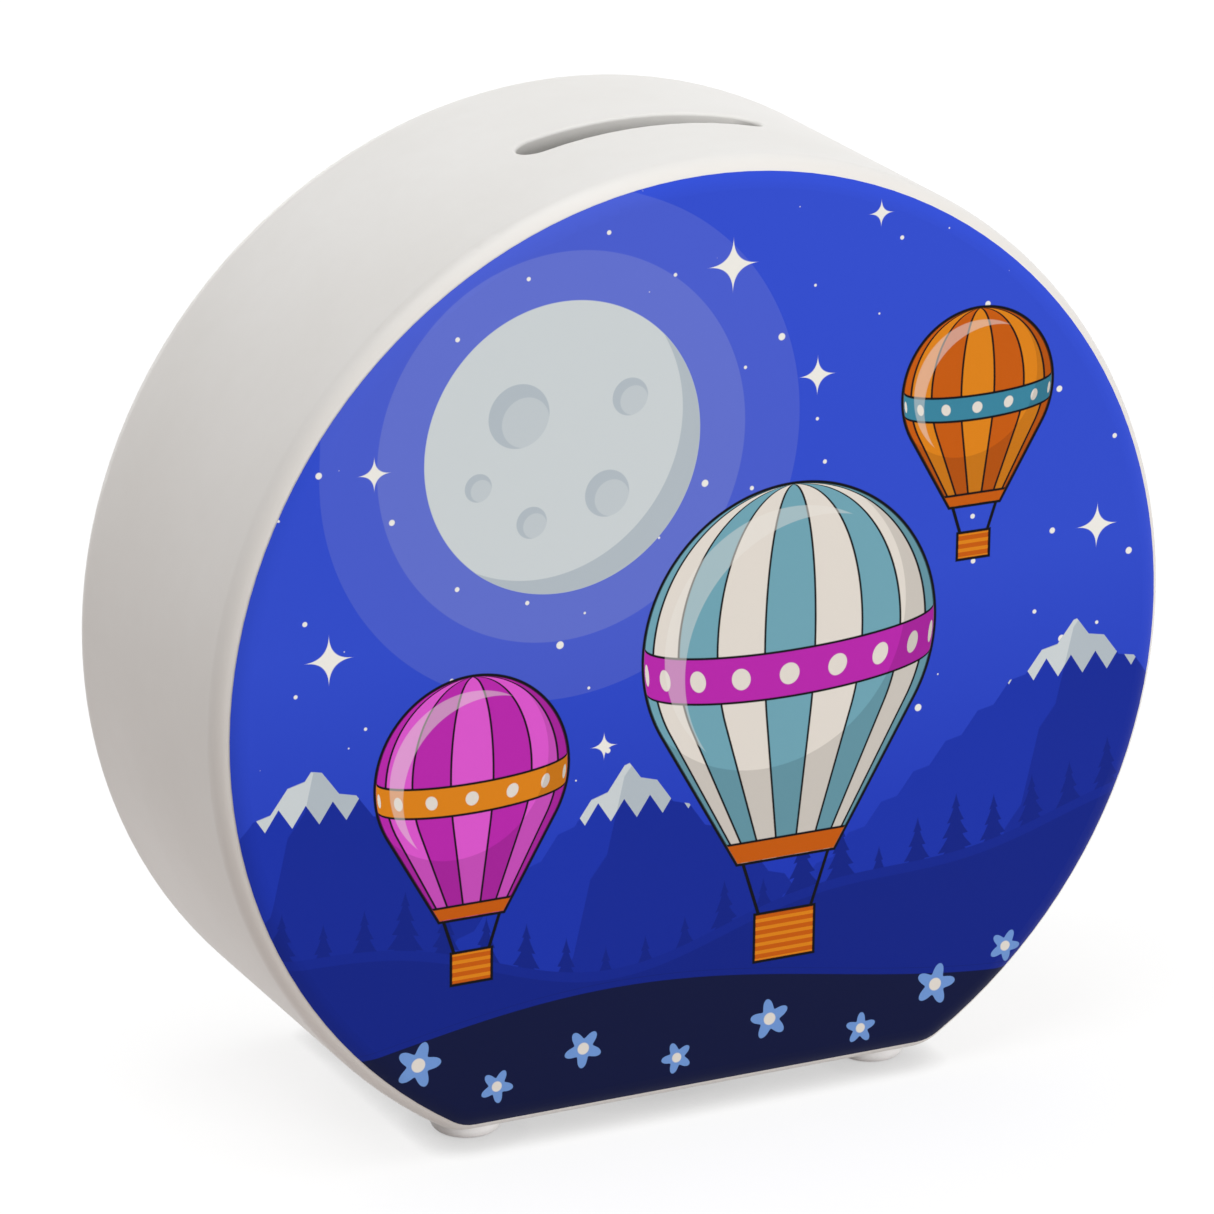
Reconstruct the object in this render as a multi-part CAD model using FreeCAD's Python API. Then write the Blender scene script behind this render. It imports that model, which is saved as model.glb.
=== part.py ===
"""Round drum money box: a glazed ceramic shell with a coin slot, a pull-out stopper and bumper feet.

Millimetres. +Z is up and -Y is the printed front. The origin lies on the table, midway between the feet.
"""
import FreeCAD
import Part

import math
import os

# Drum, seen from the front as a circle cut off by a flat base
DRUM_DIAMETER = 110.0
DRUM_DEPTH = 39.0
BASE_FLAT_LENGTH = 52.4
BASE_CORNER_RADIUS = 6.0
EDGE_RADIUS = 3.0

# Hollow of the shell
WALL = 4.0
BASE_WALL = 5.0
INNER_CORNER_RADIUS = 5.0
INNER_EDGE_RADIUS = 2.0

# Coin slot in the crown of the rim
SLOT_LENGTH = 27.8
SLOT_WIDTH = 4.1
SLOT_FORWARD = 2.0
SLOT_LIP_RADIUS = 0.35

# Coin outlet in the base: a recess that takes the stopper's flange, a seat ledge and a hole inside it
RECESS_MARGIN = 0.3
RECESS_DEPTH = 1.2
SEAT_LEDGE = 1.9
OUTLET_EDGE_RADIUS = 0.5

# Printed coat on the front face, which laps a little way round the front edge
PRINT_THICKNESS = 0.1
PRINT_MARGIN = 1.5

# Bumper feet and the adhesive discs that hold them
FOOT_DIAMETER = 7.6
FOOT_HEIGHT = 1.8
FOOT_ROUNDING = 1.0
FOOT_INSET = 2.1
FOOT_SETBACK = 7.2
ADHESIVE_MARGIN = 0.9
ADHESIVE_THICKNESS = 0.2

# Soft stopper that plugs the outlet
FLANGE_GAP = 0.4
FLANGE_THICKNESS = 2.0
FLANGE_ROUNDING = 0.6
SKIRT_LENGTH = 9.0
SKIRT_GAP = 0.5
SKIRT_TAPER = 0.6
SKIRT_WALL = 2.0
RIB_COUNT = 2
RIB_GAP = 0.05
RIB_CREST = 0.3
RIB_HEIGHT = 0.9
SKIRT_TIP_ROUNDING = 0.5
POCKET_DEPTH = 0.9
POCKET_RIM = 3.4
POCKET_CORNER_RADIUS = 1.2
POCKET_EDGE_RADIUS = 0.3
GRIP_WIDTH = 4.5
NOTCH_RADIUS = 4.0
NOTCH_DEPTH = 2.2

# Places that follow from the sizes
DRUM_RADIUS = DRUM_DIAMETER / 2
CORNER_REACH = DRUM_RADIUS - BASE_CORNER_RADIUS
AXIS_ABOVE_BASE = BASE_CORNER_RADIUS + math.sqrt(CORNER_REACH ** 2 - (BASE_FLAT_LENGTH / 2) ** 2)
BASE_Z = FOOT_HEIGHT + ADHESIVE_THICKNESS
AXIS_Z = BASE_Z + AXIS_ABOVE_BASE
FRONT_Y = -DRUM_DEPTH / 2
RECESS_RADIUS = DRUM_DEPTH / 2 - EDGE_RADIUS - OUTLET_EDGE_RADIUS - RECESS_MARGIN
OUTLET_RADIUS = RECESS_RADIUS - SEAT_LEDGE
SEAT_Z = BASE_Z + RECESS_DEPTH
FLANGE_RADIUS = RECESS_RADIUS - FLANGE_GAP
FLANGE_BOTTOM_Z = SEAT_Z - FLANGE_THICKNESS
SKIRT_RADIUS = OUTLET_RADIUS - SKIRT_GAP
SKIRT_TIP_RADIUS = SKIRT_RADIUS - SKIRT_TAPER
HOLLOW_RADIUS = SKIRT_TIP_RADIUS - SKIRT_WALL

UP = FreeCAD.Vector(0, 0, 1)
BACKWARD = FreeCAD.Vector(0, 1, 0)
ORIGIN = FreeCAD.Vector(0, 0, 0)

# How close two places have to be to count as the same one, and how many points an edge is tested at
SAME = 1e-3
EDGE_SAMPLES = 5


def line(start, end):
    return Part.LineSegment(start, end).toShape()


def arc(start, middle, end):
    return Part.Arc(start, middle, end).toShape()


def disc(radius, thickness, x, y, bottom):
    return Part.makeCylinder(radius, thickness, FreeCAD.Vector(x, y, bottom))


def drum(radius, drop, corner, depth, edge):
    """A drum along Y whose base is flat, drop below its axis, with its front and back edges rounded."""
    rise = drop - corner
    flat = math.sqrt((radius - corner) ** 2 - rise ** 2)
    reach = radius / (radius - corner)
    half_turn = math.atan2(flat, rise) / 2

    def point(x, z):
        return FreeCAD.Vector(x, -depth / 2, AXIS_Z + z)

    def bulge(side):
        return point(side * (flat + corner * math.sin(half_turn)), -rise - corner * math.cos(half_turn))

    base_left = point(-flat, -drop)
    base_right = point(flat, -drop)
    rim_left = point(-flat * reach, -rise * reach)
    rim_right = point(flat * reach, -rise * reach)
    outline = Part.Wire([
        line(base_left, base_right),
        arc(base_right, bulge(1), rim_right),
        arc(rim_right, point(0, radius), rim_left),
        arc(rim_left, bulge(-1), base_left),
    ])
    solid = Part.Face(outline).extrude(BACKWARD * depth)
    ends = [e for e in solid.Edges if e.BoundBox.YLength < SAME]
    return solid.makeFillet(edge, ends)


def outer_drum(coat=0.0):
    """The outside of the shell, or that drum grown evenly by the thickness of a coat."""
    return drum(
        DRUM_RADIUS + coat,
        AXIS_ABOVE_BASE + coat,
        BASE_CORNER_RADIUS + coat,
        DRUM_DEPTH + 2 * coat,
        EDGE_RADIUS + coat,
    )


def slot_prism():
    """The coin slot: a slim round-ended prism from inside the drum to above its crown."""
    half_width = SLOT_WIDTH / 2
    half_length = SLOT_LENGTH / 2
    straight = half_length - half_width

    def point(x, y):
        return FreeCAD.Vector(x, y - SLOT_FORWARD, AXIS_Z + DRUM_RADIUS / 2)

    front_left = point(-straight, -half_width)
    front_right = point(straight, -half_width)
    back_left = point(-straight, half_width)
    back_right = point(straight, half_width)
    outline = Part.Wire([
        line(front_left, front_right),
        arc(front_right, point(half_length, 0), back_right),
        line(back_right, back_left),
        arc(back_left, point(-half_length, 0), front_left),
    ])
    return Part.Face(outline).extrude(UP * DRUM_RADIUS)


def on_slot_mouth(edge):
    """Whether an edge runs round the slot in the outside of the drum."""
    for p in edge.discretize(EDGE_SAMPLES):
        outside = abs(math.hypot(p.x, p.z - AXIS_Z) - DRUM_RADIUS) < SAME and p.z > AXIS_Z
        along = abs(p.x) < SLOT_LENGTH / 2 + SAME
        across = abs(p.y + SLOT_FORWARD) < SLOT_WIDTH / 2 + SAME
        if not (outside and along and across):
            return False
    return True


def is_ring(edge, radius, height):
    """Whether an edge is a circle of this radius about the Z axis at this height."""
    curve = edge.Curve
    if not isinstance(curve, Part.Circle):
        return False
    return abs(curve.Radius - radius) < SAME and abs(curve.Center.z - height) < SAME


def body():
    """Slip-cast ceramic shell: one hollow piece, open at the coin slot and at the outlet in its base."""
    cavity = drum(
        DRUM_RADIUS - WALL,
        AXIS_ABOVE_BASE - BASE_WALL,
        INNER_CORNER_RADIUS,
        DRUM_DEPTH - 2 * WALL,
        INNER_EDGE_RADIUS,
    )
    outlet = disc(OUTLET_RADIUS, BASE_WALL + WALL, 0, 0, BASE_Z)
    recess = disc(RECESS_RADIUS, RECESS_DEPTH, 0, 0, BASE_Z)
    shell = outer_drum().cut([cavity, slot_prism(), outlet, recess])
    shell = shell.makeFillet(SLOT_LIP_RADIUS, [e for e in shell.Edges if on_slot_mouth(e)])
    rims = [
        e
        for e in shell.Edges
        if is_ring(e, OUTLET_RADIUS, BASE_Z + BASE_WALL) or is_ring(e, RECESS_RADIUS, BASE_Z)
    ]
    return shell.makeFillet(OUTLET_EDGE_RADIUS, rims)


def front_print():
    """Thin printed coat over the flat front and the first part of its rounded edge."""
    lap = EDGE_RADIUS - PRINT_MARGIN
    lap_depth = EDGE_RADIUS - math.sqrt(EDGE_RADIUS ** 2 - lap ** 2)
    size = 2 * DRUM_DIAMETER
    corner = FreeCAD.Vector(-size / 2, FRONT_Y + lap_depth - size, AXIS_Z - size / 2)
    coat = outer_drum(PRINT_THICKNESS).cut(outer_drum())
    return coat.common(Part.makeBox(size, size, size, corner))


def foot_places():
    """Name and centre of each foot, near the four corners of the flat base."""
    x = BASE_FLAT_LENGTH / 2 - FOOT_INSET
    y = DRUM_DEPTH / 2 - FOOT_SETBACK
    return {
        "front_left": (-x, -y),
        "front_right": (x, -y),
        "back_left": (-x, y),
        "back_right": (x, y),
    }


def foot(x, y):
    """Moulded bumper: a low button, rounded where it meets the table."""
    button = disc(FOOT_DIAMETER / 2, FOOT_HEIGHT, x, y, 0)
    toe = [e for e in button.Edges if e.BoundBox.ZMax < SAME]
    return button.makeFillet(FOOT_ROUNDING, toe)


def foot_adhesive(x, y):
    """Double-sided adhesive disc between a foot and the base."""
    return disc(FOOT_DIAMETER / 2 - ADHESIVE_MARGIN, ADHESIVE_THICKNESS, x, y, FOOT_HEIGHT)


def ring(points):
    """A solid of revolution about Z from (radius, height) corners joined by straight lines."""
    corners = [FreeCAD.Vector(radius, 0, height) for radius, height in points]
    return Part.Face(Part.makePolygon(corners + corners[:1])).revolve(ORIGIN, UP, 360)


def stopper_rib(height):
    """One sealing bead round the skirt, which grips the wall of the outlet."""
    crest_radius = OUTLET_RADIUS - RIB_GAP
    root_radius = HOLLOW_RADIUS + SKIRT_WALL / 2
    return ring([
        (root_radius, height - RIB_HEIGHT / 2),
        (SKIRT_TIP_RADIUS, height - RIB_HEIGHT / 2),
        (crest_radius, height - RIB_CREST / 2),
        (crest_radius, height + RIB_CREST / 2),
        (SKIRT_TIP_RADIUS, height + RIB_HEIGHT / 2),
        (root_radius, height + RIB_HEIGHT / 2),
    ])


def stopper_pocket(side):
    """One of the two rounded half-moon pockets that leave a grip bar between them."""
    radius = FLANGE_RADIUS - POCKET_RIM
    near = GRIP_WIDTH / 2
    reach = math.sqrt(radius ** 2 - near ** 2)
    start = FreeCAD.Vector(side * near, -reach, FLANGE_BOTTOM_Z)
    middle = FreeCAD.Vector(side * radius, 0, FLANGE_BOTTOM_Z)
    end = FreeCAD.Vector(side * near, reach, FLANGE_BOTTOM_Z)
    prism = Part.Face(Part.Wire([arc(start, middle, end), line(end, start)])).extrude(UP * POCKET_DEPTH)
    return prism.makeFillet(POCKET_CORNER_RADIUS, [e for e in prism.Edges if e.BoundBox.ZLength > SAME])


def on_pocket_mouth(edge):
    """Whether an edge runs round the mouth of a pocket in the stopper's face."""
    for p in edge.discretize(EDGE_SAMPLES):
        in_face = abs(p.z - FLANGE_BOTTOM_Z) < SAME
        if not in_face or math.hypot(p.x, p.y) > FLANGE_RADIUS - POCKET_RIM + SAME:
            return False
    return True


def stopper():
    """Soft plug: a flange with pockets, a grip bar and a nail notch, and a hollow ribbed skirt."""
    flange = disc(FLANGE_RADIUS, FLANGE_THICKNESS, 0, 0, FLANGE_BOTTOM_Z)
    flange = flange.makeFillet(FLANGE_ROUNDING, [e for e in flange.Edges if e.BoundBox.ZMax < SEAT_Z - SAME])
    root_z = SEAT_Z - FLANGE_THICKNESS / 2
    tip_z = SEAT_Z + SKIRT_LENGTH
    skirt = ring([
        (HOLLOW_RADIUS, root_z),
        (SKIRT_RADIUS, root_z),
        (SKIRT_RADIUS, SEAT_Z),
        (SKIRT_TIP_RADIUS, tip_z),
        (HOLLOW_RADIUS, tip_z),
    ])
    skirt = skirt.makeFillet(SKIRT_TIP_ROUNDING, [e for e in skirt.Edges if e.BoundBox.ZMin > tip_z - SAME])
    gripped = BASE_WALL - RECESS_DEPTH - OUTLET_EDGE_RADIUS
    pitch = gripped / (RIB_COUNT + 1)
    ribs = [stopper_rib(SEAT_Z + pitch * (n + 1)) for n in range(RIB_COUNT)]
    notch_x = FLANGE_RADIUS - NOTCH_DEPTH + NOTCH_RADIUS
    notch = disc(NOTCH_RADIUS, FLANGE_THICKNESS, notch_x, 0, FLANGE_BOTTOM_Z)
    plug = flange.fuse([skirt] + ribs).cut([stopper_pocket(-1), stopper_pocket(1), notch]).removeSplitter()
    return plug.makeFillet(POCKET_EDGE_RADIUS, [e for e in plug.Edges if on_pocket_mouth(e)])


def write(name, shape):
    """Write one piece under its name, after making sure that it is one closed solid."""
    if not shape.isValid() or len(shape.Solids) != 1:
        raise RuntimeError(name + " is not one valid solid")
    solid = shape.Solids[0]
    solid.exportStep(os.path.join("parts", name + ".step"))
    print(name, "volume", round(solid.Volume, 1), "mm3")


def main():
    os.makedirs("parts", exist_ok=True)
    write("body", body())
    write("front_print", front_print())
    write("stopper", stopper())
    for place, (x, y) in foot_places().items():
        write("foot_" + place, foot(x, y))
        write("foot_adhesive_" + place, foot_adhesive(x, y))


main()
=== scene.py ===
"""Dresses the packed money box: glaze, printed front, rubber stopper and feet, and a white studio."""
import math

import bpy
from mathutils import Matrix, Vector


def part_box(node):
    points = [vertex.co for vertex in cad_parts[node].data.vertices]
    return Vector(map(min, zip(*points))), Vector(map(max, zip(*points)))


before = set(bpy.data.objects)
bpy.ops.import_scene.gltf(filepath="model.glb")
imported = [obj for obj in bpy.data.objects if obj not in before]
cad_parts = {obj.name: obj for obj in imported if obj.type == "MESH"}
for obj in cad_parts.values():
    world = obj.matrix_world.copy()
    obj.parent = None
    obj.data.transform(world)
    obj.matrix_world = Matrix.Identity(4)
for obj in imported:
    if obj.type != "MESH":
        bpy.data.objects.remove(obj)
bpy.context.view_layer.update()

bl_info = {
    "name": "Round Money Box",
    "version": (1, 0, 0),
    "blender": (4, 5, 0),
    "location": "View3D > Sidebar > Money Box",
    "description": "Finishes a round ceramic money box and sets it in a white studio",
    "category": "Object",
}

MM = 0.001
FOOT_PLACES = ("front_left", "front_right", "back_left", "back_right")

# Sizes of the shell, read from the packed model
BODY_LOW, BODY_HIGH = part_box("body")
DRUM_RADIUS = (BODY_HIGH.x - BODY_LOW.x) / 2
HALF_DEPTH = (BODY_HIGH.y - BODY_LOW.y) / 2
AXIS_Z = BODY_HIGH.z - DRUM_RADIUS

# Features to the metre in the glaze, the print and the rubber, and the depth of those that are raised
CLOUD_SCALE = 28
MOTTLE_SCALE = 420
GLOSS_SCALE = 60
WOBBLE_SCALE = 30
WOBBLE_DEPTH = 0.25 * MM
PEEL_SCALE = 700
PEEL_DEPTH = 0.012 * MM
PRINT_GRAIN_SCALE = 900
PRINT_PEEL_SCALE = 160
PRINT_PEEL_DEPTH = 0.03 * MM
RUBBER_CLOUD_SCALE = 240
RUBBER_DUST_SCALE = 1400
RUBBER_GRAIN_DEPTH = 0.05 * MM

# Where the glaze starts to thin, measured in from the drum's outline and faces, over what width,
# and how much it shows
THIN_START = 2.2 * MM
THIN_FADE = 1.6 * MM
THIN_STRENGTH = 0.55

# The paper floor: its width, how far the painted contact shadow (the glow dimmed near the box) reaches, how
# white the paper looks out of it and in it, and from where and over what width it turns fully white
FLOOR_WIDTH = 8
CONTACT_REACH = 3.5 * MM
PAPER_GLOW = 0.8
CONTACT_GLOW = 0.44
LIT_REACH = 300 * MM
LIT_FADE = 700 * MM

# The softboxes: the place and width of each, in metres
TOP_LIGHT_PLACE = (-0.2, -0.05, 1.1)
TOP_LIGHT_WIDTH = 0.9
FRONT_LIGHT_PLACE = (0.45, -1.1, 0.16)
FRONT_LIGHT_WIDTH = 0.8
BACK_LIGHT_PLACE = (0.1, 1.25, 0.26)
BACK_LIGHT_WIDTH = 0.5

# The drawing on the front, in millimetres about the drum's axis
SKY_FOOT = -46
SKY_TOP = 53
MOON_U = -17
MOON_V = 27
MOON_RADIUS = 15.5
STAR_PITCH = 8.5
STAR_RADIUS = 0.42
STAR_FOOT = -16
CRAG_PITCH = 1.9
CRAG_HEIGHT = 0.55
SNOW_DEPTH = 4.2
SNOW_TOOTH = 1.5
HILL_LEVEL = -25
HILL_RIM = 1.1
FIR_PITCH = 4.6
FIR_LEAST = 2.5
FIR_SPREAD = 4.5
MEADOW_LEVEL = -35.5
MEADOW_RIM = 0.7

# How far each ring of the halo reaches past the moon, and its strength
HALO_RINGS = ((11.5, 0.06), (5.2, 0.1))

# Place and radius of each crater, sparkle and flower
CRATERS = ((-22, 31, 3.4), (-12, 21.5, 2.5), (-20.5, 19.5, 1.7), (-9.5, 31.5, 2.0), (-26.5, 24, 1.5))
SPARKLES = (
    (2, 44, 3.0), (12, 31, 2.2), (46, 10, 2.6), (-43, 8, 2.8), (-38, 27, 1.9),
    (-12, -6, 1.6), (19, 47.5, 1.5),
)
FLOWERS = (
    (-33, -38, 2.6), (-24, -42, 1.9), (-14, -39.5, 2.2), (-3, -42.5, 1.8),
    (8, -40, 2.3), (19, -43, 1.8), (28, -39.5, 2.4), (36.5, -36.5, 1.9),
)

# Place of each mountain's top, and how steep its sides are
PEAKS = ((-45, -3, 0.8), (-9, -8, 0.85), (44, 0, 0.75))

# Place, radius and number of gores of each balloon, and its colours: dark gores, light gores and band
BALLOONS = (
    (31, 27, 8.8, 7, "rust", "orange", "teal_dark"),
    (-27, -7, 10.8, 7, "magenta", "pink", "orange"),
    (9.5, 2.5, 17, 9, "teal", "cream", "magenta"),
)


def linear(red, green, blue):
    """A display colour, 0 to 255 a channel, as the linear light that a shader works in."""
    shares = [channel / 255 for channel in (red, green, blue)]
    return tuple(s / 12.92 if s <= 0.04045 else ((s + 0.055) / 1.055) ** 2.4 for s in shares)


def colour_property(name, description, *display):
    return bpy.props.FloatVectorProperty(
        name=name, description=description, default=linear(*display), subtype="COLOR", size=3, min=0, max=1
    )


def length_property(name, description, default):
    return bpy.props.FloatProperty(name=name, description=description, default=default, unit="LENGTH")


def angle_property(name, description, degrees):
    return bpy.props.FloatProperty(
        name=name, description=description, default=math.radians(degrees), subtype="ANGLE"
    )


def share_property(name, description, default):
    return bpy.props.FloatProperty(
        name=name, description=description, default=default, min=0, max=1, subtype="FACTOR"
    )


def power_property(name, description, watts):
    return bpy.props.FloatProperty(name=name, description=description, default=watts, unit="POWER")


class GlazeSettings(bpy.types.PropertyGroup):
    """Glaze on the shell"""

    white: colour_property("White", "Glaze where it lies thick", 242, 241, 239)
    shade: colour_property("Shade", "Glaze in its slightly thinner clouds", 224, 221, 216)
    thin: colour_property("Thin Edge", "Glaze where it thins over the rounded edges", 218, 214, 208)
    roughness: share_property("Roughness", "How satin the glaze is", 0.36)


class PrintSettings(bpy.types.PropertyGroup):
    """Picture on the front"""

    sky_high: colour_property("Sky High", "Top of the night sky", 50, 78, 209)
    sky_middle: colour_property("Sky Middle", "Middle of the night sky", 49, 77, 206)
    sky_low: colour_property("Sky Low", "Sky above the hills", 30, 56, 184)
    moon: colour_property("Moon", "Moon, its halo and snow", 204, 213, 216)
    moon_shade: colour_property("Moon Shade", "Craters, the moon's dark side and shaded snow", 178, 190, 198)
    star: colour_property("Star", "Stars and the gleam on the balloons", 238, 238, 232)
    peak: colour_property("Peak", "Lit side of the mountains", 27, 52, 172)
    peak_shade: colour_property("Peak Shade", "Far side of the mountains and the hill's rim", 21, 43, 152)
    hill: colour_property("Hill", "Wooded hill and the meadow's crest", 16, 36, 134)
    meadow: colour_property("Meadow", "Meadow in front", 10, 18, 58)
    flower: colour_property("Flower", "Flowers in the meadow", 112, 152, 214)
    ink: colour_property("Ink", "Outlines, ropes and shade on the balloons", 6, 6, 10)
    teal: colour_property("Teal", "Dark gores of the large balloon", 112, 166, 182)
    teal_dark: colour_property("Dark Teal", "Band of the small balloon", 58, 132, 158)
    cream: colour_property("Cream", "Large balloon's light gores, dots and flower hearts", 226, 221, 212)
    magenta: colour_property("Magenta", "Middle balloon's dark gores, large one's band", 184, 40, 174)
    pink: colour_property("Pink", "Light gores of the middle balloon", 220, 88, 208)
    orange: colour_property("Orange", "Small balloon's light gores, middle one's band, weave", 220, 132, 26)
    rust: colour_property("Rust", "Dark gores of the small balloon, skirts and baskets", 196, 92, 14)


class RubberSettings(bpy.types.PropertyGroup):
    """Stopper and feet"""

    foot: colour_property("Foot", "Bumper feet", 248, 248, 248)
    stopper: colour_property("Stopper", "Base stopper", 206, 205, 201)
    adhesive: colour_property("Adhesive", "Discs above the feet", 226, 224, 216)


class StudioSettings(bpy.types.PropertyGroup):
    """Camera, lights and floor"""

    azimuth: angle_property("Azimuth", "Turn of the camera round the box, 0 facing the print", -26.464)
    elevation: angle_property("Elevation", "Height of the camera above the horizon", 19.417)
    roll: angle_property("Roll", "Tilt of the picture", 0.699)
    distance: length_property("Distance", "From the camera to the point it looks at", 711.92 * MM)
    target_x: length_property("Target X", "Sideways place of the point looked at", -2.1 * MM)
    target_rise: length_property("Target Rise", "Looked-at point's height over the drum's axis", 1.48 * MM)
    lens: bpy.props.FloatProperty(
        name="Lens", description="Focal length on a 36 mm sensor", default=199.47, unit="CAMERA"
    )
    floor: colour_property("Floor", "Paper as it shows light and shadow", 137, 137, 137)
    bounce: colour_property("Bounce", "Paper as the box is lit by it", 196, 184, 178)
    ambient: bpy.props.FloatProperty(name="Ambient", description="Light from all round", default=0.36, min=0)
    top_power: power_property("Top Light", "Softbox overhead", 6.3)
    front_power: power_property("Front Light", "Low softbox in front, to the right", 11.6)
    back_power: power_property("Back Light", "Weak softbox behind", 7.0)


class Value:
    """A number in a shader. Arithmetic on it adds Math nodes."""

    def __init__(self, shader, socket):
        self.shader = shader
        self.socket = socket

    def __add__(self, other):
        return self.shader.math("ADD", self, other)

    def __sub__(self, other):
        return self.shader.math("SUBTRACT", self, other)

    def __rsub__(self, other):
        return self.shader.math("SUBTRACT", other, self)

    def __mul__(self, other):
        return self.shader.math("MULTIPLY", self, other)

    def __truediv__(self, other):
        return self.shader.math("DIVIDE", self, other)

    def __rtruediv__(self, other):
        return self.shader.math("DIVIDE", other, self)

    def __neg__(self):
        return self.shader.math("MULTIPLY", self, -1)

    def __abs__(self):
        return self.shader.math("ABSOLUTE", self)

    def __lt__(self, other):
        return self.shader.math("LESS_THAN", self, other)

    def __gt__(self, other):
        return self.shader.math("GREATER_THAN", self, other)

    __radd__ = __add__
    __rmul__ = __mul__

    def clamped(self):
        return self.shader.math("ADD", self, 0, clamp=True)

    def least(self, other):
        return self.shader.math("MINIMUM", self, other)

    def most(self, other):
        return self.shader.math("MAXIMUM", self, other)

    def root(self):
        return self.shader.math("SQRT", self)

    def fraction(self):
        return self.shader.math("FRACT", self)

    def whole(self):
        return self.shader.math("FLOOR", self)

    def zigzag(self, reach):
        """This value folded to and fro between 0 and the reach."""
        return self.shader.math("PINGPONG", self, reach)

    def sine(self):
        return self.shader.math("SINE", self)

    def cosine(self):
        return self.shader.math("COSINE", self)

    def arcsine(self):
        return self.shader.math("ARCSINE", self)

    def direction(self, across):
        """The angle of the point that lies this far up and that far across."""
        return self.shader.math("ARCTAN2", self, across)

    def choose(self, yes, no):
        """yes where this value is 1, no where it is 0."""
        return self * (yes - no) + no


class Shader:
    """One procedural material or world: its nodes, and the sockets that they share."""

    def __init__(self, name, tree=None):
        if tree is None:
            self.material = bpy.data.materials.new(name)
            self.material.use_nodes = True
            tree = self.material.node_tree
        self.tree = tree
        self.tree.nodes.clear()

    def node(self, kind, settings=None, sockets=None):
        """Any node, by its type, with its settings and then the values or links of its sockets."""
        made = self.tree.nodes.new(kind)
        for name, setting in (settings or {}).items():
            if name == "stops":
                self.set_stops(made.color_ramp.elements, setting)
            else:
                setattr(made, name, setting)
        for key, given in (sockets or {}).items():
            self.feed(made.inputs[key], given)
        return made

    def set_stops(self, elements, stops):
        while len(elements) < len(stops):
            elements.new(1)
        for element, (position, colour) in zip(elements, stops):
            element.position = position
            element.color = (*colour, 1)

    def feed(self, socket, given):
        given = getattr(given, "socket", given)
        if isinstance(given, bpy.types.NodeSocket):
            self.tree.links.new(given, socket)
        elif socket.type == "RGBA":
            socket.default_value = (*given[:3], 1)
        else:
            socket.default_value = given

    def math(self, operation, *terms, clamp=False):
        settings = {"operation": operation, "use_clamp": clamp}
        return self.value("ShaderNodeMath", settings, dict(enumerate(terms)))

    def value(self, kind, settings=None, sockets=None, output=0):
        return Value(self, self.node(kind, settings, sockets).outputs[output])

    def place(self):
        """The three Object coordinates, in metres."""
        coordinates = self.node("ShaderNodeTexCoord").outputs["Object"]
        split = self.node("ShaderNodeSeparateXYZ", sockets={0: coordinates})
        return [Value(self, output) for output in split.outputs]

    def mix(self, mask, under, over):
        """One colour over another, as far as the mask says."""
        node = self.node("ShaderNodeMix", {"data_type": "RGBA"}, {0: mask, 6: under, 7: over})
        return node.outputs[2]

    def noise(self, scale, detail=3, roughness=0.5):
        """Soft noise from 0 to 1 with this many features to the metre."""
        coordinates = self.node("ShaderNodeTexCoord").outputs["Object"]
        sockets = {"Vector": coordinates, "Scale": scale, "Detail": detail, "Roughness": roughness}
        return self.value("ShaderNodeTexNoise", sockets=sockets)

    def bump(self, height, depth, strength=1, normal=None):
        """A normal tilted by a height from 0 to 1, which stands for this depth in metres."""
        sockets = {"Strength": strength, "Distance": depth, "Height": height}
        if normal is not None:
            sockets["Normal"] = normal
        return self.node("ShaderNodeBump", sockets=sockets).outputs[0]

    def finish(self, sockets):
        """The material, shaded by one Principled BSDF with these sockets."""
        surface = self.node("ShaderNodeBsdfPrincipled", sockets=sockets)
        self.node("ShaderNodeOutputMaterial", sockets={"Surface": surface.outputs[0]})
        return self.material


def dress(node, material):
    """Gives a CAD piece its finish."""
    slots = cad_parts[node].data.materials
    slots.clear()
    slots.append(material)


def near_edge(distance, edge):
    """0 well inside an edge, rising to 1 close to it."""
    return ((distance - edge + THIN_START) / THIN_FADE).clamped()


def glaze_material(settings):
    """Satin white glaze: faint clouds and a fine mottle, a little darker where it thins over the edges."""
    shader = Shader("white_glaze")
    x, y, z = shader.place()
    rise = z - AXIS_Z
    clouds = shader.noise(CLOUD_SCALE, detail=4)
    mottle = shader.noise(MOTTLE_SCALE, detail=2)
    colour = shader.mix(clouds, settings.white, settings.shade)
    colour = shader.mix(mottle * 0.25, colour, settings.shade)
    radial = (x * x + rise * rise).root()
    thinned = near_edge(radial, DRUM_RADIUS) * near_edge(abs(y), HALF_DEPTH)
    colour = shader.mix(thinned * THIN_STRENGTH, colour, settings.thin)
    roughness = settings.roughness + (shader.noise(GLOSS_SCALE) - 0.5) * 0.12
    wobble = shader.bump(shader.noise(WOBBLE_SCALE, detail=1), WOBBLE_DEPTH, 0.6)
    peel = shader.bump(shader.noise(PEEL_SCALE, detail=2), PEEL_DEPTH, 0.5, wobble)
    return shader.finish({
        "Base Color": colour,
        "Roughness": roughness,
        "Normal": peel,
        "Specular IOR Level": 0.4,
    })


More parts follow.
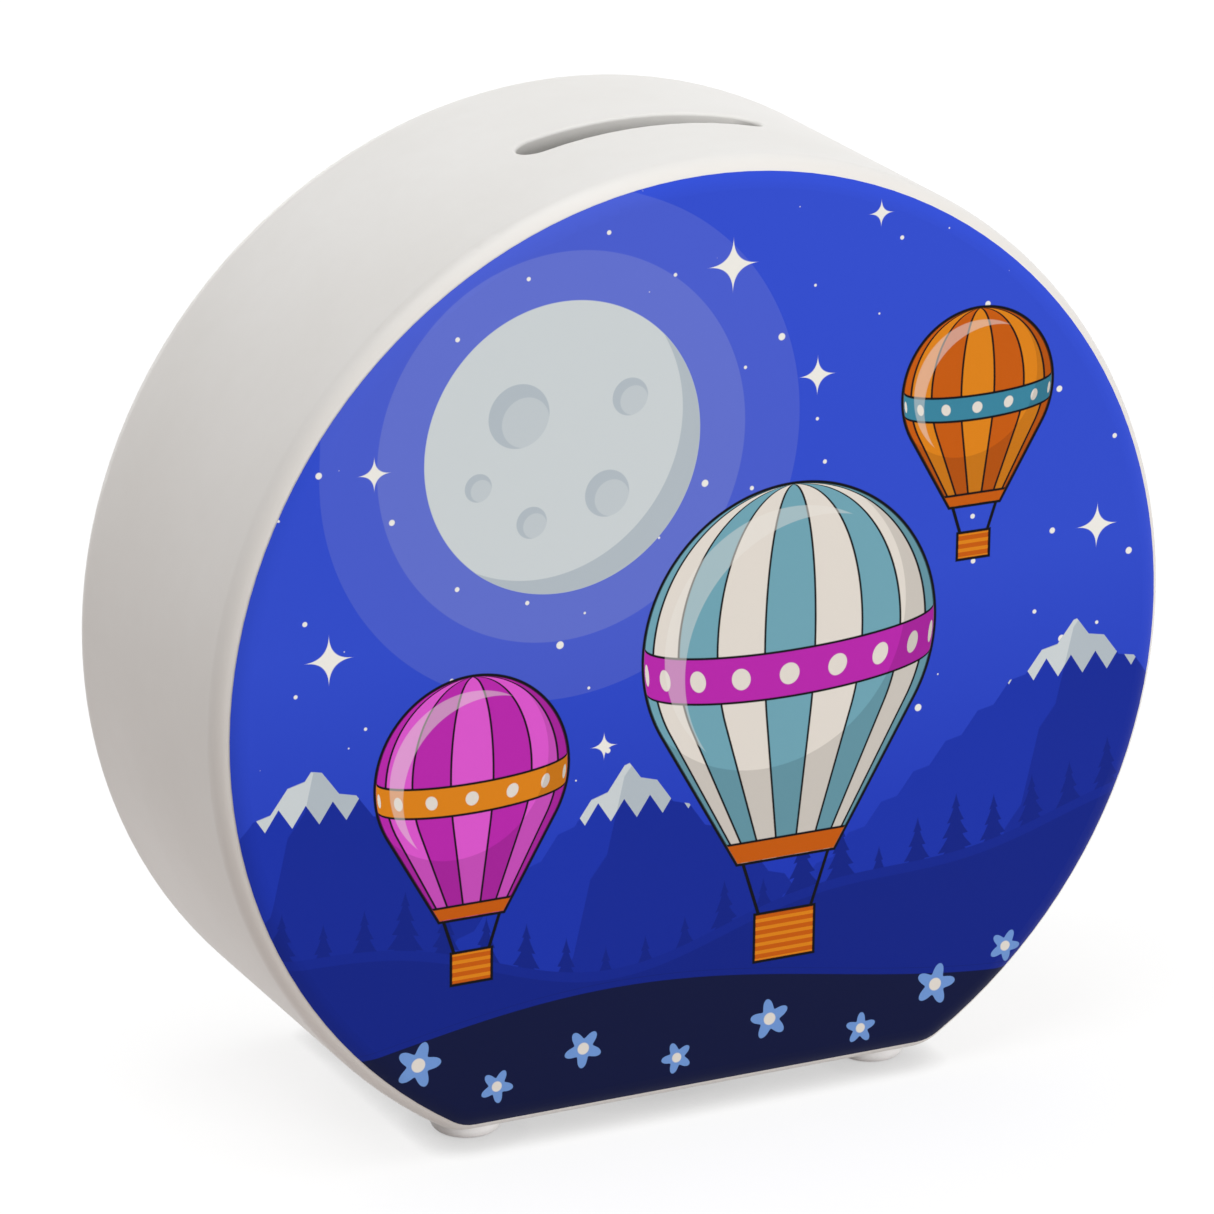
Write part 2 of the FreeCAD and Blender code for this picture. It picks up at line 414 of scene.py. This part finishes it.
class Picture:
    """A flat drawing on the front, in millimetres about the drum's axis, painted layer over layer."""

    SOFT_EDGE = 0.05
    OUTLINE = 0.32
    FINE_LINE = 0.13

    def __init__(self, shader):
        self.shader = shader
        x, _, z = shader.place()
        self.u = x * (1 / MM)
        self.v = (z - AXIS_Z) * (1 / MM)
        self.spot = shader.node("ShaderNodeCombineXYZ", sockets={0: self.u, 1: self.v}).outputs[0]
        self.colour = None

    def cover(self, distance):
        """1 inside a shape and 0 outside it, from the distance to its edge."""
        return (0.5 - distance * (0.5 / self.SOFT_EDGE)).clamped()

    def line(self, distance):
        """A fine line where the distance is 0."""
        return self.cover(abs(distance) - self.FINE_LINE)

    def from_point(self, u, v):
        """Distance from a point of the drawing."""
        return self.shader.value(
            "ShaderNodeVectorMath", {"operation": "DISTANCE"}, {0: self.spot, 1: (u, v, 0)}, output="Value"
        )

    def disc(self, u, v, radius):
        return self.cover(self.from_point(u, v) - radius)

    def paint(self, colour, mask):
        self.colour = self.shader.mix(mask, self.colour, colour)


def draw_sky(picture, settings):
    """Night sky: a blue gradient with the moon's halo."""
    stops = [(0.2, settings.sky_low), (0.55, settings.sky_middle), (0.9, settings.sky_high)]
    height = (picture.v - SKY_FOOT) * (1 / (SKY_TOP - SKY_FOOT))
    picture.colour = picture.shader.node("ShaderNodeValToRGB", {"stops": stops}, {0: height}).outputs[0]
    for reach, strength in HALO_RINGS:
        picture.paint(settings.moon, picture.disc(MOON_U, MOON_V, MOON_RADIUS + reach) * strength)


def draw_stars(picture, settings):
    """Small round stars strewn by cells, and a few four-pointed sparkles."""
    shader = picture.shader
    sockets = {"Vector": picture.spot, "Scale": 1 / STAR_PITCH}
    cells = shader.node("ShaderNodeTexVoronoi", {"voronoi_dimensions": "2D"}, sockets)
    chance = shader.value("ShaderNodeSeparateColor", sockets={0: cells.outputs["Color"]})
    away = Value(shader, cells.outputs["Distance"]) * STAR_PITCH
    picture.paint(settings.star, picture.cover(away - chance * STAR_RADIUS) * (picture.v > STAR_FOOT))
    for u, v, size in SPARKLES:
        across = (abs(picture.u - u) * (1 / size)).root()
        along = (abs(picture.v - v) * (1 / size)).root()
        picture.paint(settings.star, picture.cover((across + along - 1) * (0.6 * size)))


def draw_moon(picture, settings):
    """A full moon with a shaded side and craters, each lit on its lower right."""
    disc = picture.disc(MOON_U, MOON_V, MOON_RADIUS)
    lit_side = picture.disc(MOON_U - 2.6, MOON_V + 2.4, MOON_RADIUS + 0.6)
    picture.paint(settings.moon, disc)
    picture.paint(settings.moon_shade, disc * (1 - lit_side))
    for u, v, radius in CRATERS:
        shift = 0.22 * radius
        picture.paint(settings.moon_shade, picture.disc(u, v, radius))
        picture.paint(settings.moon, picture.disc(u + shift, v - shift, radius - shift) * 0.55)


def rolling(across, pace, start, height):
    """A rolling line of this height, with its pace in radians to the millimetre."""
    return (across * pace + start).sine() * height


def draw_land(picture, settings):
    """Snowy mountains behind a wooded hill."""
    u, v = picture.u, picture.v
    crag = (u + 2).zigzag(CRAG_PITCH) * CRAG_HEIGHT
    for peak_u, peak_v, slope in PEAKS:
        side = u - peak_u
        tooth = (side + 0.6).zigzag(SNOW_TOOTH) * SNOW_TOOTH
        mountain = picture.cover((v - peak_v + abs(side) * slope + crag) * 0.75)
        cap = picture.cover(peak_v - SNOW_DEPTH - tooth - v)
        far_side = picture.cover((v - peak_v) * 0.35 + crag - side)
        picture.paint(settings.peak, mountain)
        picture.paint(settings.moon, mountain * cap)
        picture.paint(settings.peak_shade, mountain * far_side * (1 - cap))
        picture.paint(settings.moon_shade, mountain * far_side * cap)
    hill = rolling(u, 0.05, -1.1, 4.6) + rolling(u, 0.14, 0, 1.5) + HILL_LEVEL
    draw_firs(picture, settings, hill)
    ground = picture.cover(v - hill)
    picture.paint(settings.hill, ground)
    picture.paint(settings.peak_shade, ground * picture.cover(hill - HILL_RIM - v) * 0.6)


def draw_firs(picture, settings, ground):
    """A row of slim firs along a hill, each with its own height."""
    place = picture.u * (1 / FIR_PITCH)
    cell = {"W": place.whole()}
    chance = picture.shader.value("ShaderNodeTexWhiteNoise", {"noise_dimensions": "1D"}, cell)
    across = abs(place.fraction() - 0.5) * FIR_PITCH
    below_top = ground + chance * FIR_SPREAD + FIR_LEAST - picture.v
    tier = (below_top * 0.62).fraction() * 0.45 + 0.62
    fir = across - below_top * 0.3 * tier
    picture.paint(settings.hill, picture.cover(fir.most(-below_top)))


def draw_meadow(picture, settings):
    """The dark meadow in front, with small five-petalled flowers."""
    u, v = picture.u, picture.v
    level = rolling(u, 0.06, 2.2, 3.0) + MEADOW_LEVEL
    meadow = picture.cover(v - level)
    picture.paint(settings.meadow, meadow)
    picture.paint(settings.hill, meadow * picture.cover(level - MEADOW_RIM - v))
    for turn, (flower_u, flower_v, size) in enumerate(FLOWERS):
        angle = (v - flower_v).direction(u - flower_u)
        petal = (angle * 5 + turn).cosine() * 0.24 + 0.76
        away = picture.from_point(flower_u, flower_v)
        picture.paint(settings.flower, picture.cover(away - petal * size))
        picture.paint(settings.cream, picture.cover(away - size * 0.3))


class Balloon:
    """A hot-air balloon, measured in radii of its envelope about the envelope's middle."""

    CONE_COSINE = math.cos(math.radians(30))
    CONE_SINE = math.sin(math.radians(30))
    MOUTH = -1.42
    SKIRT = 0.13
    ROPE_SPREAD = 0.3
    ROPE_DRAW_IN = 0.12
    ROPE_HALF = 0.2
    BASKET_MIDDLE = -1.94
    BASKET_HALF_WIDTH = 0.2
    BASKET_HALF_HEIGHT = 0.15
    WEAVE_PITCH = 0.9
    BAND_HALF = 0.15
    DOT = 0.07
    SEAM_HALF = 0.12

    def __init__(self, picture, settings, u, v, radius, gores):
        self.picture = picture
        self.settings = settings
        self.u = u
        self.v = v
        self.radius = radius
        self.gores = gores
        self.x = (picture.u - u) * (1 / radius)
        self.y = (picture.v - v) * (1 / radius)
        self.side = abs(self.x)
        self.edge = self.outline()
        self.envelope = picture.cover(self.edge)

    def outline(self):
        """Distance to the edge of the envelope: a round crown on a cone that ends at the mouth."""
        crown = (self.x * self.x + self.y * self.y).root() - 1
        cone = self.side * self.CONE_COSINE - self.y * self.CONE_SINE - 1
        on_cone = (self.side * self.CONE_SINE + self.y * self.CONE_COSINE) < 0
        return on_cone.choose(cone, crown).most(self.MOUTH - self.y) * self.radius

    def draw_basket(self):
        """A woven basket on two ropes."""
        picture, settings = self.picture, self.settings
        fall = self.MOUTH - self.BASKET_MIDDLE - self.BASKET_HALF_HEIGHT
        hang = (self.y - self.MOUTH) * (self.ROPE_DRAW_IN / fall) + self.ROPE_SPREAD
        rope = abs(self.side - hang) * self.radius
        span = (self.y < self.MOUTH) * (self.y > self.BASKET_MIDDLE)
        picture.paint(settings.ink, picture.cover(rope - self.ROPE_HALF) * span)
        height = abs(self.y - self.BASKET_MIDDLE) - self.BASKET_HALF_HEIGHT
        basket = (self.side - self.BASKET_HALF_WIDTH).most(height) * self.radius
        weave = (self.y * (self.radius / self.WEAVE_PITCH)).fraction()
        picture.paint(settings.ink, picture.cover(basket - picture.OUTLINE))
        picture.paint(settings.rust, picture.cover(basket))
        picture.paint(settings.orange, picture.cover(basket) * (abs(weave - 0.5) < 0.22))

    def draw_envelope(self, dark, light, band):
        """Striped gores with inked seams, and a dotted band round the middle."""
        picture, settings, envelope = self.picture, self.settings, self.envelope
        crown_half = (1 - self.y * self.y).most(0).root()
        cone_half = (self.y * self.CONE_SINE + 1) * (1 / self.CONE_COSINE)
        half_width = (self.y < -self.CONE_SINE).choose(cone_half, crown_half).most(0.05)
        across = (self.x / half_width).least(1).most(-1)
        facing = (1 - across * across).root()
        longitude = across.arcsine() * (self.gores / math.pi) + self.gores / 2
        in_gore = longitude.fraction()
        picture.paint(settings.ink, picture.cover(self.edge - picture.OUTLINE))
        picture.paint(dark, envelope)
        picture.paint(light, envelope * ((longitude * 0.5).fraction() > 0.5))

        latitude = self.y + 0.06 + facing * 0.16
        band_edge = (abs(latitude) - self.BAND_HALF) * self.radius
        in_band = picture.cover(band_edge) * envelope
        beside = (in_gore - 0.5) * (math.pi / self.gores)
        dot = ((beside * beside + latitude * latitude).root() - self.DOT) * self.radius
        picture.paint(band, in_band)
        picture.paint(settings.cream, picture.cover(dot) * envelope)
        picture.paint(settings.ink, picture.line(band_edge) * envelope)
        gore_width = facing * half_width * (math.pi * self.radius / self.gores)
        seam = (0.5 - abs(in_gore - 0.5)) * gore_width
        picture.paint(settings.ink, picture.cover(seam - self.SEAM_HALF) * envelope * (1 - in_band))

    def draw_light(self):
        """Shade on the lower right of the envelope, and a gleam on its upper left."""
        picture, settings = self.picture, self.settings
        lit = self.round_spot(-0.16, 0.14, 0.96)
        picture.paint(settings.ink, self.envelope * (1 - lit) * 0.22)
        gleam = self.round_spot(0, 0, 0.86) * (1 - self.round_spot(0.2, -0.14, 0.92))
        picture.paint(settings.star, gleam * 0.32)

    def round_spot(self, x, y, radius):
        scale = self.radius
        return self.picture.disc(self.u + x * scale, self.v + y * scale, radius * scale)

    def draw_skirt(self):
        """The plain skirt at the mouth."""
        picture, settings = self.picture, self.settings
        top = (self.y - self.MOUTH - self.SKIRT) * self.radius
        picture.paint(settings.rust, picture.cover(top) * self.envelope)
        picture.paint(settings.ink, picture.line(top) * self.envelope)


def draw_balloons(picture, settings):
    """Three striped balloons, the largest in front."""
    for u, v, radius, gores, dark, light, band in BALLOONS:
        balloon = Balloon(picture, settings, u, v, radius, gores)
        balloon.draw_basket()
        balloon.draw_envelope(getattr(settings, dark), getattr(settings, light), getattr(settings, band))
        balloon.draw_light()
        balloon.draw_skirt()


def print_material(settings):
    """Glossy colour print of balloons over night hills, with the fine unevenness of a fired transfer."""
    shader = Shader("front_print")
    picture = Picture(shader)
    for draw in (draw_sky, draw_stars, draw_moon, draw_land, draw_balloons, draw_meadow):
        draw(picture, settings)
    grain = shader.noise(PRINT_GRAIN_SCALE, detail=2)
    peel = shader.bump(shader.noise(PRINT_PEEL_SCALE, detail=2), PRINT_PEEL_DEPTH, 0.3)
    return shader.finish({
        "Base Color": picture.colour,
        "Roughness": grain * 0.1 + 0.3,
        "Normal": peel,
        "Specular IOR Level": 0.09,
    })


def rubber_material(name, colour, grain_scale, roughness):
    """Moulded rubber: a fine matt grain, faint clouds and a little dust in the tone."""
    shader = Shader(name)
    clouds = shader.noise(RUBBER_CLOUD_SCALE, detail=3)
    dust = shader.noise(RUBBER_DUST_SCALE, detail=2)
    darker = tuple(channel * 0.86 for channel in colour)
    tone = shader.mix((clouds * 1.6 - 0.5).clamped() * 0.6 + dust * 0.15, colour, darker)
    grain = shader.bump(
        shader.noise(grain_scale, detail=3, roughness=0.65), RUBBER_GRAIN_DEPTH, 0.5
    )
    return shader.finish({
        "Base Color": tone,
        "Roughness": clouds * 0.16 + roughness,
        "Normal": grain,
        "Specular IOR Level": 0.4,
    })


class MONEYBOX_OT_shell(bpy.types.Operator):
    """Glazes the ceramic shell"""

    bl_idname = "money_box.shell"
    bl_label = "Shell"

    def execute(self, context):
        dress("body", glaze_material(context.scene.money_box_glaze))
        return {"FINISHED"}


class MONEYBOX_OT_front_print(bpy.types.Operator):
    """Prints the picture on the front"""

    bl_idname = "money_box.front_print"
    bl_label = "Front Print"

    def execute(self, context):
        dress("front_print", print_material(context.scene.money_box_print))
        return {"FINISHED"}


class MONEYBOX_OT_stopper(bpy.types.Operator):
    """Finishes the stopper in pale rubber"""

    bl_idname = "money_box.stopper"
    bl_label = "Stopper"

    def execute(self, context):
        colour = context.scene.money_box_rubber.stopper
        dress("stopper", rubber_material("stopper_rubber", colour, grain_scale=1800, roughness=0.52))
        return {"FINISHED"}


class MONEYBOX_OT_feet(bpy.types.Operator):
    """Finishes the bumper feet and their adhesive discs"""

    bl_idname = "money_box.feet"
    bl_label = "Feet"

    def execute(self, context):
        rubber = context.scene.money_box_rubber
        foot = rubber_material("foot_rubber", rubber.foot, grain_scale=2400, roughness=0.36)
        adhesive = rubber_material("adhesive", rubber.adhesive, grain_scale=3000, roughness=0.6)
        for place in FOOT_PLACES:
            dress("foot_" + place, foot)
            dress("foot_adhesive_" + place, adhesive)
        return {"FINISHED"}


def white_to_camera(shader):
    """1 for rays that show the surroundings: from the camera, or by way of gloss or glass."""
    rays = shader.node("ShaderNodeLightPath").outputs
    seen = Value(shader, rays["Is Camera Ray"])
    return seen.most(Value(shader, rays["Is Glossy Ray"])).most(Value(shader, rays["Is Transmission Ray"]))


def floor_material(studio):
    """Pale paper that looks white where it is lit and keeps the shadow, with painted shadow darkest close
    under the box.
    """
    shader = Shader("paper_floor")
    seen = white_to_camera(shader)
    close_by = shader.node("ShaderNodeAmbientOcclusion", {"samples": 4}, {"Distance": CONTACT_REACH})
    open_air = Value(shader, close_by.outputs["AO"])
    x, y, _ = shader.place()
    far_off = (((x * x + y * y).root() - LIT_REACH) / LIT_FADE).clamped()
    # Painted contact shadow: the paper's glow falls from PAPER_GLOW to CONTACT_GLOW where the box is close
    # above
    glow = open_air.choose(PAPER_GLOW, CONTACT_GLOW)
    paper = shader.mix(seen, studio.bounce, studio.floor)
    diffuse = shader.node("ShaderNodeBsdfDiffuse", sockets={"Color": paper})
    shine = shader.node("ShaderNodeEmission", sockets={"Color": seen * far_off.choose(1, glow)})
    both = shader.node("ShaderNodeAddShader", sockets={0: diffuse.outputs[0], 1: shine.outputs[0]})
    shader.node("ShaderNodeOutputMaterial", sockets={"Surface": both.outputs[0]})
    return shader.material


class MONEYBOX_OT_stage(bpy.types.Operator):
    """Adds the floor, the lights and the camera"""

    bl_idname = "money_box.stage"
    bl_label = "Stage"

    def execute(self, context):
        studio = context.scene.money_box_studio
        context.scene.view_settings.view_transform = "Standard"
        self.add_camera(context.scene, studio)
        self.add_world(context.scene, studio)
        self.add_lights(context, studio)
        self.add_floor(context, studio)
        return {"FINISHED"}

    def add_camera(self, scene, studio):
        data = bpy.data.cameras.new("camera")
        data.lens = studio.lens
        camera = bpy.data.objects.new("camera", data)
        scene.collection.objects.link(camera)
        level = math.cos(studio.elevation)
        back = Vector((
            math.sin(studio.azimuth) * level,
            -math.cos(studio.azimuth) * level,
            math.sin(studio.elevation),
        ))
        target = Vector((studio.target_x, 0, AXIS_Z + studio.target_rise))
        aim = (-back).to_track_quat("-Z", "Y").to_matrix().to_4x4()
        spot = Matrix.Translation(target + back * studio.distance)
        camera.matrix_world = spot @ aim @ Matrix.Rotation(studio.roll, 4, "Z")
        scene.camera = camera

    def add_world(self, scene, studio):
        scene.world = bpy.data.worlds.new("studio")
        scene.world.use_nodes = True
        shader = Shader("studio", scene.world.node_tree)
        strength = white_to_camera(shader).choose(1, studio.ambient)
        light = shader.node("ShaderNodeBackground", sockets={"Color": (1, 1, 1), "Strength": strength})
        shader.node("ShaderNodeOutputWorld", sockets={"Surface": light.outputs[0]})

    def add_lights(self, context, studio):
        self.add_softbox(context, "top_light", TOP_LIGHT_PLACE, TOP_LIGHT_WIDTH, studio.top_power)
        front = self.add_softbox(
            context, "front_light", FRONT_LIGHT_PLACE, FRONT_LIGHT_WIDTH, studio.front_power
        )
        back = self.add_softbox(context, "back_light", BACK_LIGHT_PLACE, BACK_LIGHT_WIDTH, studio.back_power)
        for lamp in (front, back):
            lamp.visible_glossy = False

    def add_softbox(self, context, name, location, width, power):
        bpy.ops.object.light_add(type="AREA", location=location)
        lamp = context.object
        lamp.name = name
        lamp.data.energy = power
        lamp.data.size = width
        lamp.rotation_mode = "QUATERNION"
        lamp.rotation_quaternion = (Vector((0, 0, AXIS_Z)) - lamp.location).to_track_quat("-Z", "Y")
        return lamp

    def add_floor(self, context, studio):
        bpy.ops.object.select_all(action="DESELECT")
        bpy.ops.mesh.primitive_plane_add(size=FLOOR_WIDTH)
        floor = context.object
        floor.name = "floor"
        floor.data.materials.append(floor_material(studio))


class MONEYBOX_PT_panel(bpy.types.Panel):
    """Lists the pieces and their settings"""

    bl_idname = "MONEYBOX_PT_panel"
    bl_label = "Money Box"
    bl_space_type = "VIEW_3D"
    bl_region_type = "UI"
    bl_category = "Money Box"

    def draw(self, context):
        for operator in OPERATORS:
            self.layout.operator(operator.bl_idname)
        for name, group in SETTINGS.items():
            column = self.layout.column()
            column.label(text=group.__doc__)
            for key in group.__annotations__:
                column.prop(getattr(context.scene, name), key)


OPERATORS = (
    MONEYBOX_OT_shell,
    MONEYBOX_OT_front_print,
    MONEYBOX_OT_stopper,
    MONEYBOX_OT_feet,
    MONEYBOX_OT_stage,
)
SETTINGS = {
    "money_box_glaze": GlazeSettings,
    "money_box_print": PrintSettings,
    "money_box_rubber": RubberSettings,
    "money_box_studio": StudioSettings,
}
CLASSES = (*SETTINGS.values(), *OPERATORS, MONEYBOX_PT_panel)


def register():
    for cls in CLASSES:
        bpy.utils.register_class(cls)
    for name, group in SETTINGS.items():
        setattr(bpy.types.Scene, name, bpy.props.PointerProperty(type=group))


def unregister():
    for name in SETTINGS:
        delattr(bpy.types.Scene, name)
    for cls in reversed(CLASSES):
        bpy.utils.unregister_class(cls)


def main():
    register()
    bpy.ops.money_box.shell()
    bpy.ops.money_box.front_print()
    bpy.ops.money_box.stopper()
    bpy.ops.money_box.feet()
    bpy.ops.money_box.stage()


if __name__ == "__main__":
    main()
